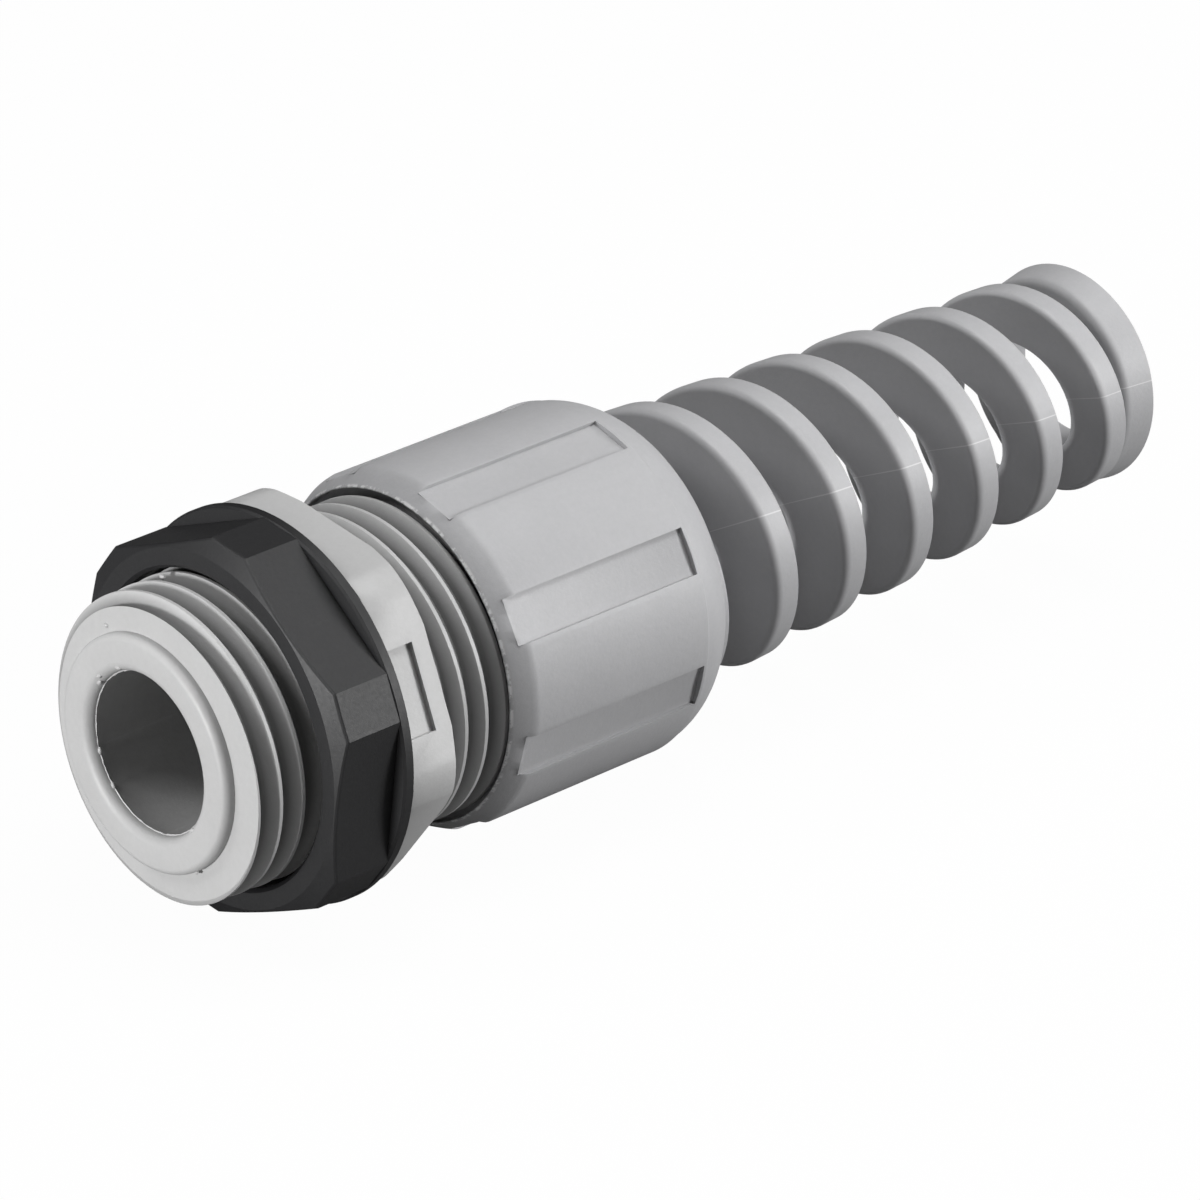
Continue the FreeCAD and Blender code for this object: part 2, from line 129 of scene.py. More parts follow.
# %% Standing up and lying down
LYING = Matrix(((0, 0, 1, 0), (1, 0, 0, 0), (0, 1, 0, 0), (0, 0, 0, 1)))


def station(node, end=0):
    """Where a node of the frame starts (end 0) or ends (end 1) along the common axis, in mm."""
    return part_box(node)[end][0] / MM


def lay_down(piece, start=0.0):
    """Turns the piece's own Z to the common X, moves it to its start and applies both."""
    only(piece)
    piece.matrix_world = Matrix.Translation((start * MM, 0, 0)) @ LYING @ piece.matrix_world
    bpy.ops.object.transform_apply(location=True, rotation=True, scale=True)
    return piece


for node in sorted(frame["nodes"]):
    print(node, "from", round(station(node), 2), "to", round(station(node, 1), 2), "mm")

# %% [markdown]
# Modifiers finish a piece: a bevel for the small radius that every moulded edge has, and booleans to join
# solids or cut bores. Each one is applied at once, so that the piece holds the finished mesh.

# %% Modifiers, applied
SHARP_EDGE, SMOOTH_BELOW = 32.0, 28.0


def modify(piece, kind, **settings):
    """Adds one modifier, sets it up and applies it."""
    only(piece)
    step = piece.modifiers.new(kind.lower(), kind)
    for name, value in settings.items():
        setattr(step, name, value)
    bpy.ops.object.modifier_apply(modifier=step.name)
    return piece


def combine(piece, tool, operation):
    """Joins the tool to the piece, cuts it away or keeps what both share, and removes the tool."""
    modify(piece, "BOOLEAN", operation=operation, object=tool, solver="MANIFOLD")
    bpy.data.objects.remove(tool, do_unlink=True)
    return piece


def soften(piece, radius):
    """Rounds every sharp edge in two steps."""
    return modify(piece, "BEVEL", width=radius * MM, segments=2, limit_method="ANGLE",
                  angle_limit=math.radians(SHARP_EDGE), use_clamp_overlap=True,
                  harden_normals=False)


def shade(piece, angle=SMOOTH_BELOW):
    """Smooth shading, broken at edges sharper than the angle."""
    only(piece)
    bpy.ops.object.shade_smooth_by_angle(angle=math.radians(angle))
    return piece


print("bevels take edges over", SHARP_EDGE, "degrees, shading is smooth below", SMOOTH_BELOW)

# %% [markdown]
# Most of this object is turned or wound: an outline drawn on one side of the axis, then spun round it or
# wound along it as a screw. An outline is drawn the way a hand does it, by extruding one point after
# another. It could also be a curve, but then every round would need its handles set. Here the rounded
# stretches come from a small function that returns the points of an arc.

# %% Outlines
def draw(name, corners):
    """A chain of edges through (distance from the axis, height) in the XZ plane."""
    bpy.ops.object.select_all(action="DESELECT")
    bpy.ops.mesh.primitive_plane_add(size=MM)
    piece = bpy.context.object
    piece.name = name
    bpy.ops.object.mode_set(mode="EDIT")
    bpy.ops.mesh.merge(type="CENTER")
    here = Vector((0, 0, 0))
    bpy.ops.mesh.select_mode(type="VERT")
    for number, (out, up) in enumerate(corners):
        there = Vector((out * MM, 0, up * MM))
        if number:
            bpy.ops.mesh.extrude_vertices_move(TRANSFORM_OT_translate={"value": there - here})
        else:
            bpy.ops.mesh.select_all(action="SELECT")
            bpy.ops.transform.translate(value=there)
        here = there
    bpy.ops.object.mode_set(mode="OBJECT")
    return piece


def arc(start, end, centre, steps):
    """Points of an arc from start to end about a centre, both ends left out."""
    spoke = Vector(start) - Vector(centre)
    sweep = spoke.angle_signed(Vector(end) - Vector(centre))
    points = []
    for step in range(1, steps):
        turn = Matrix.Rotation(-sweep * step / steps, 2)
        points.append(tuple(Vector(centre) + turn @ spoke))
    return points


def quarter(start, end, steps):
    """A quarter round from start, where it runs across the axis, to end, where it runs along it."""
    return [start, *arc(start, end, (start[0], end[1]), steps), end]


print("a quarter round in three steps:", quarter((0, 0), (1, 1), 3))

# %% [markdown]
# A spin turns an outline round the axis and a screw modifier also lifts it. Both leave a seam of double
# points, which are merged before anything else is done with the shape.

# %% Turning and winding
TURN_STEPS, WIND_STEPS = 160, 120


def turned(name, corners, segments=TURN_STEPS):
    """An outline spun once round the axis. One that starts on the axis ends there too."""
    on_axis = corners[0][0] == 0
    piece = draw(name, list(corners) + ([] if on_axis else [corners[0]]))
    close_up(piece)
    edit(piece, select="SELECT")
    bpy.ops.mesh.spin(steps=segments, angle=math.tau, center=(0, 0, 0), axis=(0, 0, 1))
    return close_up(piece)


def wound(name, corners, pitch, turns):
    """An outline wound round and along the axis as a right-handed screw."""
    piece = draw(name, corners)
    close_up(piece)
    steps = round(turns * WIND_STEPS)
    return modify(piece, "SCREW", axis="Z", angle=math.tau * turns, screw_offset=pitch * turns * MM,
                  iterations=1, steps=steps, render_steps=steps, use_merge_vertices=False)


print("steps in a turn:", TURN_STEPS, "turned,", WIND_STEPS, "wound")

# %% [markdown]
# A thread is one strip, exactly one pitch tall, wound so that each turn starts where the last one ended.
# Cutting it square at both ends with a filled bisect makes it a closed threaded rod. Stacked rings would
# be easier and look nearly the same from afar, but at the ends of a real thread the groove runs out.

# %% Threads
CREST_EASE = 0.09


def trim(piece, height, keep_above):
    """Cuts the piece square to its axis and closes the cut."""
    edit(piece, select="SELECT")
    bpy.ops.mesh.bisect(plane_co=(0, 0, height * MM), plane_no=(0, 0, 1), use_fill=True,
                        clear_inner=keep_above, clear_outer=not keep_above, threshold=1e-7)
    bpy.ops.object.mode_set(mode="OBJECT")


def threaded_rod(name, crest, groove, pitch, groove_at, low, high, taper=0.0):
    """A rod with a thread cut in it. groove is (mouth width, depth, root width)."""
    mouth, depth, root = groove
    start = groove_at - pitch * math.ceil((groove_at - low) / pitch + 1)
    turns = math.ceil((high - start) / pitch) + 2
    outline = [
        (crest - depth, start - root / 2),
        (crest - depth, start + root / 2),
        (crest - CREST_EASE, start + mouth / 2 - CREST_EASE / 2),
        (crest, start + mouth / 2 + CREST_EASE / 2),
        (crest, start + pitch - mouth / 2 - CREST_EASE / 2),
        (crest - CREST_EASE, start + pitch - mouth / 2 + CREST_EASE / 2),
        (crest - depth, start + pitch - root / 2),
    ]
    rod = wound(name, outline, pitch, turns)
    close_up(rod)
    trim(rod, low, keep_above=True)
    trim(rod, high, keep_above=False)
    if taper:
        modify(rod, "SIMPLE_DEFORM", deform_method="TAPER", deform_axis="Z",
               factor=taper * (high - low) / crest)
    return close_up(rod)


print("a crest is eased by", CREST_EASE, "mm at both edges")

# %% [markdown]
# The gland body is one light grey moulding. Its entry end has a raised lip round the cable bore, then a
# flat ring, then the tapered thread. The hexagonal collar has rounded corners and one shallow panel, and
# behind it stands the threaded stub for the dome nut. It is made as a union of a threaded rod, a hexagon
# and another rod, and bored last, because that is the order in which the shapes hide each other. The
# entry thread widens towards the collar, as a taper pipe thread does, and the stub's doesn't.

# %% Gland body: threads
ENTRY_RADIUS, ENTRY_PITCH, ENTRY_TAPER = 10.36, 1.814, 0.03125
ENTRY_GROOVE, ENTRY_GROOVE_AT = (1.5, 1.1, 0.24), -1.78
STUB_RADIUS, STUB_PITCH = 11.0, 1.75
STUB_GROOVE, STUB_GROOVE_AT = (1.4, 0.95, 0.3), 15.25
COLLAR_FRONT, COLLAR_REAR, COLLAR_HALF = 10.4, 14.5, 12.0
STUB_END = station("gland_body", 1)
OVERLAP = 0.5

entry_rod = threaded_rod("entry_rod", ENTRY_RADIUS, ENTRY_GROOVE, ENTRY_PITCH, ENTRY_GROOVE_AT, 0.0,
                         COLLAR_FRONT + OVERLAP, ENTRY_TAPER)
stub_rod = threaded_rod("stub_rod", STUB_RADIUS, STUB_GROOVE, STUB_PITCH, STUB_GROOVE_AT,
                        COLLAR_REAR - OVERLAP, STUB_END)
print("threads:", len(entry_rod.data.polygons), len(stub_rod.data.polygons), "faces")

# %% [markdown]
# The collar is a six-sided cylinder primitive with its upright edges bevelled to a 3 mm round. Its rear
# corners slope away, as on many nuts, and that slope is a cone: a turned blank has the cone, and the
# hexagon keeps only what lies inside the blank. The blank is turned as a ring and filled with a core.

# %% Gland body: collar
COLLAR_TURN, CORNER_ROUND, CORNER_STEPS, COLLAR_EDGE = 97.5, 3.0, 10, 0.12
BLANK_RADIUS, SLOPE_LENGTH, SLOPE_END = 15.0, 1.45, 12.45
BLANK_INNER, CORE_OUTER, CORE_INNER, CORE_SEGMENTS = 8.0, 8.5, 0.5, 32
FIRST_SIDE, NEXT_SIDE, UPRIGHT = 60.0, 60.0, 0.5


def prism(name, half_flats, low, high, turn):
    """A hexagonal prism that stands on low, with the middle of its first side at the angle turn."""
    bpy.ops.object.select_all(action="DESELECT")
    reach = half_flats / math.cos(math.pi / 6)
    bpy.ops.mesh.primitive_cylinder_add(vertices=6, radius=reach * MM, depth=(high - low) * MM,
                                        location=(0, 0, (low + high) / 2 * MM))
    piece = bpy.context.object
    piece.name = name
    piece.rotation_euler.z = math.radians(turn - FIRST_SIDE)
    bpy.ops.object.transform_apply(location=True, rotation=True, scale=True)
    return piece


def bevel_uprights(piece, width, segments):
    """Bevels the edges that run along the axis."""
    pick(piece, "EDGE", lambda a, b: abs(a.z - b.z) > UPRIGHT)
    bpy.ops.mesh.bevel(offset=width * MM, offset_type="OFFSET", segments=segments, affect="EDGES")
    bpy.ops.object.mode_set(mode="OBJECT")


collar = prism("collar", COLLAR_HALF, COLLAR_FRONT, COLLAR_REAR, COLLAR_TURN)
bevel_uprights(collar, CORNER_ROUND * math.tan(math.radians(30)), CORNER_STEPS)
blank = turned("collar_blank", [
    (BLANK_INNER, COLLAR_FRONT - 1), (BLANK_RADIUS, COLLAR_FRONT - 1),
    (BLANK_RADIUS, COLLAR_REAR - SLOPE_LENGTH), (SLOPE_END, COLLAR_REAR), (BLANK_INNER, COLLAR_REAR),
])
core = turned("collar_core", [
    (CORE_INNER, COLLAR_FRONT - 1), (CORE_OUTER, COLLAR_FRONT - 1), (CORE_OUTER, COLLAR_REAR),
    (CORE_INNER, COLLAR_REAR),
], CORE_SEGMENTS)
combine(blank, core, "UNION")
combine(collar, blank, "INTERSECT")
soften(collar, COLLAR_EDGE)
print("collar:", len(collar.data.polygons), "faces")

# %% [markdown]
# One flat of the collar has a sunken rectangle, a third of a millimetre deep. A face of the flat could be
# inset and pushed in, but a block that is cut away gives crisp walls in one step, wherever the edges of
# the mesh run.

# %% Gland body: the panel on one flat
PANEL_FRONT, PANEL_REAR, PANEL_WIDTH = 10.9, 13.2, 5.9
PANEL_DEPTH, PANEL_SHIFT, PANEL_BLOCK = 0.35, 0.31, 2.0


def block(name, size, centre, turn):
    """A box whose own X points away from the axis at the angle turn."""
    bpy.ops.object.select_all(action="DESELECT")
    bpy.ops.mesh.primitive_cube_add(size=MM)
    piece = bpy.context.object
    piece.name = name
    piece.scale = size
    piece.location = Vector(centre) * MM
    bpy.ops.object.transform_apply(location=True, rotation=False, scale=True)
    piece.rotation_euler.z = math.radians(turn)
    bpy.ops.object.transform_apply(location=False, rotation=True, scale=False)
    return piece


panel = block("panel", (PANEL_BLOCK, PANEL_WIDTH, PANEL_REAR - PANEL_FRONT),
              (COLLAR_HALF - PANEL_DEPTH + PANEL_BLOCK / 2, PANEL_SHIFT,
               (PANEL_FRONT + PANEL_REAR) / 2),
              COLLAR_TURN + NEXT_SIDE)
combine(collar, panel, "DIFFERENCE")
print("collar with panel:", len(collar.data.polygons), "faces")

# %% [markdown]
# The lip is a short turned tube with a rounded outer edge. The bore is one turned tool for all that is
# hollow: the rounded mouth, the narrow bore, and the wide pocket that holds the rubber bushing.

# %% Gland body: lip, bore and union
BORE, BORE_END, POCKET, POCKET_FRONT = 5.55, 15.6, 8.4, 17.6
LIP_OUTER, LIP_ROUND, MOUTH_ROUND = 8.1, 0.5, 0.75
LIP_FRONT = station("gland_body")

lip = turned("lip", [
    (BORE - 1, LIP_FRONT),
    *quarter((LIP_OUTER - LIP_ROUND, LIP_FRONT), (LIP_OUTER, LIP_FRONT + LIP_ROUND), 6),
    (LIP_OUTER, OVERLAP), (BORE - 1, OVERLAP),
])
bore = turned("bore", [
    (0.0, LIP_FRONT - 1), (BORE + MOUTH_ROUND, LIP_FRONT - 1),
    *quarter((BORE + MOUTH_ROUND, LIP_FRONT), (BORE, LIP_FRONT + MOUTH_ROUND), 8),
    (BORE, BORE_END), (POCKET, POCKET_FRONT), (POCKET, STUB_END + 1), (0.0, STUB_END + 1),
])
gland = entry_rod
gland.name = "moulded_gland_body"
for part in (collar, stub_rod, lip):
    combine(gland, part, "UNION")
combine(gland, bore, "DIFFERENCE")
print("gland body, clean:", len(gland.data.polygons), "faces")

# %% [markdown]
# A mould leaves a feather of flash where its core met the mouth of the bore, and a few nibs beside it.
# Seen close, they tell a moulding from a drawing. A bump map can't stand out over an edge, so the feather
# is a thin ring with its inner points shaken, and each nib is a small squashed ball sunk in the surface.

# %% Gland body: flash and nibs
FLASH_WIDTH, FLASH_HALF, FLASH_ROOT, FLASH_SHAKE = 0.07, 0.05, 0.1, 0.05
FLASH_SEGMENTS, FLASH_SEED = 140, 3
NIB_SHAPE, NIB_SKEW = (1.0, 1.6, 0.8), 20
NIBS = [  # distance from the axis, height, angle, size
    (5.95, -0.64, 43.5, 0.18), (5.7, -0.5, 38.0, 0.16), (5.9, -0.61, 66.0, 0.2),
    (5.5, -0.06, 341.0, 0.17), (5.5, -0.06, 316.0, 0.16), (5.85, -0.63, 218.5, 0.18),
    (8.6, 0.0, 60.5, 0.16), (8.1, -0.3, 236.5, 0.16), (10.45, 3.9, 72.0, 0.17),
]


def feather(name, radius, height):
    """A thin ring that stands inwards from a bore, with a ragged edge."""
    tip = radius - FLASH_WIDTH
    film = turned(name, [(radius + FLASH_ROOT, height - FLASH_HALF), (tip, height),
                         (radius + FLASH_ROOT, height + FLASH_HALF)], FLASH_SEGMENTS)
    pick(film, "VERT", lambda p: abs(p.xy.length - tip) < 0.01)
    bpy.ops.transform.vertex_random(offset=FLASH_SHAKE * MM, seed=FLASH_SEED)
    bpy.ops.object.mode_set(mode="OBJECT")
    return film


combine(gland, feather("bore flash", BORE, LIP_FRONT + MOUTH_ROUND), "UNION")
for out, up, turn, size in NIBS:
    bpy.ops.object.select_all(action="DESELECT")
    bpy.ops.mesh.primitive_ico_sphere_add(
        subdivisions=2, radius=size * MM,
        location=Matrix.Rotation(math.radians(turn), 3, "Z") @ Vector((out, 0, up)) * MM)
    nib = bpy.context.object
    nib.scale = NIB_SHAPE
    nib.rotation_euler.z = math.radians(turn + NIB_SKEW)
    bpy.ops.object.transform_apply(location=True, rotation=True, scale=True)
    combine(gland, nib, "UNION")
shade(gland)
lay_down(gland)
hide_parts("gland_body")
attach(gland, "gland")
print("gland body:", len(gland.data.polygons), "faces")

# %% [markdown]
# The locknut is a separate black moulding. Its hexagon has the corners cut off by narrow facets, the front
# is chamfered all round by a cone, and a thin round flange carries it. The facets are bevelled on the
# prism's upright edges, and the cone comes from a turned blank that the prism is intersected with. Black
# shows only its highlights, so the smooth shading stops at 12 degrees and every small face reads.

# %% Locknut
LOCKNUT_HALF, LOCKNUT_FACETS, LOCKNUT_TURN = 12.4, 13.39, 127.5
HEX_LENGTH, HEX_SUNK, HEX_EDGE = 4.8, 0.2, 0.14
CONE_START, CONE_END, CONE_LENGTH = 12.2, 14.8, 1.1
FLANGE_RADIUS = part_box("locknut")[1][1] / MM
FLANGE_FRONT_EASE, FLANGE_REAR_EASE, FLANGE_SEGMENTS = 0.15, 0.12, 192
LOCKNUT_LENGTH = station("locknut", 1) - station("locknut")
LOCKNUT_BORE, LOCKNUT_BORE_EASE, LOCKNUT_SMOOTH = 10.78, 0.25, 12.0

hexagon = prism("hexagon", LOCKNUT_HALF, 0.0, HEX_LENGTH + HEX_SUNK, LOCKNUT_TURN)
corner_reach = LOCKNUT_HALF / math.cos(math.radians(30))
bevel_uprights(hexagon, (corner_reach - LOCKNUT_FACETS) / math.cos(math.radians(60)), 1)
cone = turned("cone", [
    (0.0, 0.0), (CONE_START, 0.0), (CONE_END, CONE_LENGTH), (CONE_END, HEX_LENGTH + HEX_SUNK),
    (0.0, HEX_LENGTH + HEX_SUNK),
])
combine(hexagon, cone, "INTERSECT")
soften(hexagon, HEX_EDGE)
flange = turned("flange", [
    (0.0, HEX_LENGTH), (FLANGE_RADIUS - FLANGE_FRONT_EASE, HEX_LENGTH),
    (FLANGE_RADIUS, HEX_LENGTH + FLANGE_FRONT_EASE),
    (FLANGE_RADIUS, LOCKNUT_LENGTH - FLANGE_REAR_EASE),
    (FLANGE_RADIUS - FLANGE_REAR_EASE, LOCKNUT_LENGTH), (0.0, LOCKNUT_LENGTH),
], FLANGE_SEGMENTS)
locknut_bore = turned("locknut_bore", [
    (0.0, -1.0), (LOCKNUT_BORE + LOCKNUT_BORE_EASE, -1.0), (LOCKNUT_BORE + LOCKNUT_BORE_EASE, 0.0),
    (LOCKNUT_BORE, LOCKNUT_BORE_EASE), (LOCKNUT_BORE, LOCKNUT_LENGTH + 1), (0.0, LOCKNUT_LENGTH + 1),
])
locknut = hexagon
locknut.name = "moulded_locknut"
combine(locknut, flange, "UNION")
combine(locknut, locknut_bore, "DIFFERENCE")
shade(locknut, LOCKNUT_SMOOTH)
lay_down(locknut, station("locknut"))
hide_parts("locknut")
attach(locknut, "locknut")
print("locknut:", len(locknut.data.polygons), "faces")

# %% [markdown]
# The dome nut has eight raised pads with a flat strip between each two. Behind its mouth the wall swells
# as a cone, and the pads rise from it. One eighth of the wall is modelled: a short arc of points is
# extruded ring after ring through the whole outline, inside and out, and the middle third of the outside
# is pushed in and flattened. Pads added to a turned body would show a joint that a moulding hasn't.

# %% Dome nut: one eighth of the wall
PADS, SEGMENTS = 8, 192
MOUTH, MOUTH_DEPTH, RIM, GRIP = 11.45, 0.9, 11.53, 12.45
STRIP_FLAT, STRIP_HALF_ANGLE, STRIP_END, STRIP_TURN = 12.08, 7.5, 16.5, 151.0
PAD_FRONT, PAD_ROUND = 0.9, [(-0.17, 0.35), (-0.05, 0.6), (0.0, 0.9)]
RIM_EASE, STRIP_RISE, DOME_EASE, SLACK = (0.2, 0.25), 0.03, (0.12, 0.15), 0.1
DOME_START, DOME_END, DOME_RADIUS, DOME_FLAT = 16.9, 20.6, 4.1, 9.3
THREAD_CREST, THREAD_RELIEF, THREAD_END = 10.22, 11.2, 12.6
SEAT, SEAT_INNER, THROAT = 13.5, 7.0, 15.6
SPIRAL_BORE, SPIRAL_BORE_END = 3.85, 4.6
NUT_FRONT = station("spiral_dome_nut")


def centre_of(start, end, radius):
    """The centre of the arc of that radius from start to end, on the left of the way."""
    half = (Vector(end) - Vector(start)) / 2
    rise = math.sqrt(radius ** 2 - half.length_squared)
    return Vector(start) + half + Vector((-half.y, half.x)).normalized() * rise


def angle_of(place):
    """The angle round the axis, in degrees."""
    return math.degrees(math.atan2(place.y, place.x))


dome_from, dome_to = (GRIP - DOME_EASE[0], DOME_START), (DOME_FLAT, DOME_END)
wall = [
    (MOUTH, MOUTH_DEPTH), (MOUTH, 0.0), (RIM, 0.0), (RIM + RIM_EASE[0], RIM_EASE[1]),
    (STRIP_FLAT + STRIP_RISE, PAD_FRONT), *[(GRIP + out, PAD_FRONT + up) for out, up in PAD_ROUND],
    (GRIP, STRIP_END), (GRIP, DOME_START - DOME_EASE[1]),
    dome_from, *arc(dome_from, dome_to, centre_of(dome_from, dome_to, DOME_RADIUS), 12), dome_to,
    (SPIRAL_BORE, DOME_END), (SPIRAL_BORE, THROAT), (SEAT_INNER, SEAT), (THREAD_RELIEF, SEAT),
    (THREAD_RELIEF, THREAD_END), (THREAD_CREST, THREAD_END), (THREAD_CREST, MOUTH_DEPTH),
    (MOUTH, MOUTH_DEPTH),
]
bpy.ops.object.select_all(action="DESELECT")
bpy.ops.mesh.primitive_circle_add(vertices=SEGMENTS, radius=MOUTH * MM, location=(0, 0, 0))
cap = bpy.context.object
cap.name = "moulded_dome_nut"
pick(cap, "VERT", lambda p: abs(angle_of(p)) > 180.0 / PADS + SLACK)
bpy.ops.mesh.delete(type="VERT")
bpy.ops.mesh.select_all(action="SELECT")
bpy.ops.transform.translate(value=(0, 0, wall[0][1] * MM))
for (out, up), (next_out, next_up) in zip(wall, wall[1:]):
    bpy.ops.mesh.extrude_edges_move(
        TRANSFORM_OT_translate={"value": (0, 0, (next_up - up) * MM)})
    bpy.ops.transform.resize(value=(next_out / out, next_out / out, 1), center_override=(0, 0, 0))
close_up(cap)
pick(cap, "FACE", lambda p: abs(angle_of(p)) < STRIP_HALF_ANGLE and p.xy.length > RIM
     and PAD_FRONT < p.z < STRIP_END)
bpy.ops.mesh.extrude_region_move()
bpy.ops.transform.resize(value=(0, 1, 1), center_override=(STRIP_FLAT * MM, 0, 0))
print("one eighth:", len(cap.data.polygons), "faces")

# %% [markdown]
# Seven copies, each turned an eighth further than the last, complete the circle. The copies share their
# end points, so the merge welds them into one wall. An array modifier would need a helper object for its
# turning, and copies in edit mode need none.

# %% Dome nut: the full circle
NUT_EDGE = 0.13

edit(cap, select="SELECT")
for eighth in range(1, PADS):
    bpy.ops.mesh.duplicate()
    bpy.ops.transform.rotate(value=math.tau / PADS, orient_axis="Z", center_override=(0, 0, 0))
close_up(cap)
edit(cap, select="SELECT")
bpy.ops.mesh.dissolve_degenerate(threshold=0.001 * MM)
bpy.ops.object.mode_set(mode="OBJECT")
cap.rotation_euler.z = math.radians(STRIP_TURN)
only(cap)
bpy.ops.object.transform_apply(location=True, rotation=True, scale=True)
soften(cap, NUT_EDGE)
print("cap:", len(cap.data.polygons), "faces")

# %% [markdown]
# The nut's inner thread is cut with a tap, which is a threaded rod like the stub's, a little wider and
# with its groove in the same place. So the two threads mesh with a gap all round, and the nut can be
# unscrewed without cutting through the stub.

# %% Dome nut: inner thread, in mesh with the stub's
TAP_RADIUS, TAP_MOUTH, TAP_ROOT = 11.15, 1.3, 0.22
TAP_START, TAP_PAST = 0.5, 0.4

tap = threaded_rod("tap", TAP_RADIUS, (TAP_MOUTH, TAP_RADIUS - THREAD_CREST, TAP_ROOT), STUB_PITCH,
                   STUB_GROOVE_AT - NUT_FRONT, TAP_START, THREAD_END + TAP_PAST)
combine(cap, tap, "DIFFERENCE")
print("cap with its thread:", len(cap.data.polygons), "faces")

# %% [markdown]
# The bend relief is a flat band wound on edge, seven turns from the dome to a plain ring, and it gets
# slimmer towards the ring. It is one outline wound as a screw. A winding has no ends, so the edges at its
# first and last angle are picked and filled with a face each.

# %% Spiral: one band, wound
COIL_PITCH, COIL_THICK, COIL_DRAFT, COIL_TURNS = 6.78, 2.15, 0.2, 6.9
COIL_REAR, COIL_START_RADIUS, COIL_FOOT = 17.7, 10.1, 3.4
COIL_TAPER = math.tan(math.radians(2.98))
COIL_RADIUS = COIL_START_RADIUS + COIL_TAPER * COIL_REAR
FRONT_ROUND, ROUND_STEPS, REAR_EASE = 0.6, 5, 0.12
NEAR_ANGLE, NEAR_HEIGHT = 0.5, 0.1


def fill_end(piece, angle, low, high):
    """Fills the outline whose points lie near that angle and between two heights."""
    pick(piece, "EDGE", lambda *ends: all(
        abs(angle_of(p) - angle) < NEAR_ANGLE and low < p.z < high for p in ends))
    bpy.ops.mesh.edge_face_add()
    bpy.ops.object.mode_set(mode="OBJECT")


front = COIL_REAR - COIL_THICK
section = [
    (COIL_FOOT, front - COIL_DRAFT),
    *quarter((COIL_RADIUS - FRONT_ROUND, front), (COIL_RADIUS, front + FRONT_ROUND), ROUND_STEPS),
    (COIL_RADIUS, COIL_REAR - REAR_EASE), (COIL_RADIUS - REAR_EASE, COIL_REAR),
    (COIL_FOOT, COIL_REAR + COIL_DRAFT),
]
coil = wound("coil", section + section[:1], COIL_PITCH, COIL_TURNS)
close_up(coil)
end_angle = 360.0 * (COIL_TURNS % 1) - 360.0 * (COIL_TURNS % 1 > 0.5)
last_front = front - COIL_DRAFT + COIL_PITCH * COIL_TURNS
fill_end(coil, 0.0, -math.inf, COIL_REAR + COIL_DRAFT + NEAR_HEIGHT)
fill_end(coil, end_angle, last_front - NEAR_HEIGHT, math.inf)
close_up(coil)
print("coil before taper:", len(coil.data.polygons), "faces,", coil.dimensions / MM)

# %% [markdown]
# The whole coil is tapered at once, the end ring is turned and joined, and the bore is cut through both.
# The bore widens a little towards the ring, as the daylight between the turns shows. Such a soft spiral
# never stands quite straight, so it is bent by less than a degree each way before it joins the cap, and
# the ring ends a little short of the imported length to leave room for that.

# %% Spiral: taper, end ring, bore and lean
RING_FRONT, RING_FRONT_RADIUS, RING_REAR_RADIUS, RING_REAR_EASE = 61.9, 7.65, 7.95, 0.3
TIP_BENDS, TIP_TILT = (0.7, 0.6), 0.2
RING_REAR = station("spiral_dome_nut", 1) - NUT_FRONT - TIP_TILT

modify(coil, "SIMPLE_DEFORM", deform_method="TAPER", deform_axis="Z",
       factor=-COIL_TAPER * (coil.dimensions.z / MM) / COIL_RADIUS)
ring = turned("ring", [
    (COIL_FOOT, RING_FRONT),
    *quarter((RING_FRONT_RADIUS - FRONT_ROUND, RING_FRONT),
             (RING_FRONT_RADIUS, RING_FRONT + FRONT_ROUND), ROUND_STEPS),
    (RING_REAR_RADIUS, RING_REAR - RING_REAR_EASE), (RING_REAR_RADIUS - RING_REAR_EASE, RING_REAR),
    (COIL_FOOT, RING_REAR),
])
spiral_bore = turned("spiral_bore", [
    (0.0, THROAT - 1), (SPIRAL_BORE, THROAT - 1), (SPIRAL_BORE, DOME_END),
    (SPIRAL_BORE_END, RING_FRONT), (SPIRAL_BORE_END, RING_REAR + 1), (0.0, RING_REAR + 1),
])
combine(coil, ring, "UNION")
combine(coil, spiral_bore, "DIFFERENCE")
for axis, bend in zip("XY", TIP_BENDS):
    modify(coil, "SIMPLE_DEFORM", deform_method="BEND", deform_axis=axis, angle=math.radians(bend))
combine(cap, coil, "UNION")
shade(cap)
lay_down(cap, NUT_FRONT)
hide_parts("spiral_dome_nut")
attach(cap, "dome_nut")
print("dome nut with spiral:", len(cap.data.polygons), "faces")

# %% [markdown]
# Shader maths reads best as plain sums, so one small class wraps a node's output and overloads the
# operators, and one method adds every other node from its type, its settings and its inputs. The same
# two serve for materials and for the world.

# %% Shader maths


class Value:
    """One output of a node, usable in Python sums."""

    def __init__(self, nodes, socket):
        self.nodes = nodes
        self.socket = socket

    def math(self, operation, *others):
        """Adds a Math node that starts from this output."""
        return self.nodes.add("ShaderNodeMath", {"operation": operation}, self, *others)

    def __add__(self, other):
        return self.math("ADD", other)

    def __sub__(self, other):
        return self.math("SUBTRACT", other)

    def __mul__(self, other):
        return self.math("MULTIPLY", other)

    def __rsub__(self, other):
        return self.nodes.add("ShaderNodeMath", {"operation": "SUBTRACT"}, other, self)

    __radd__ = __add__
    __rmul__ = __mul__


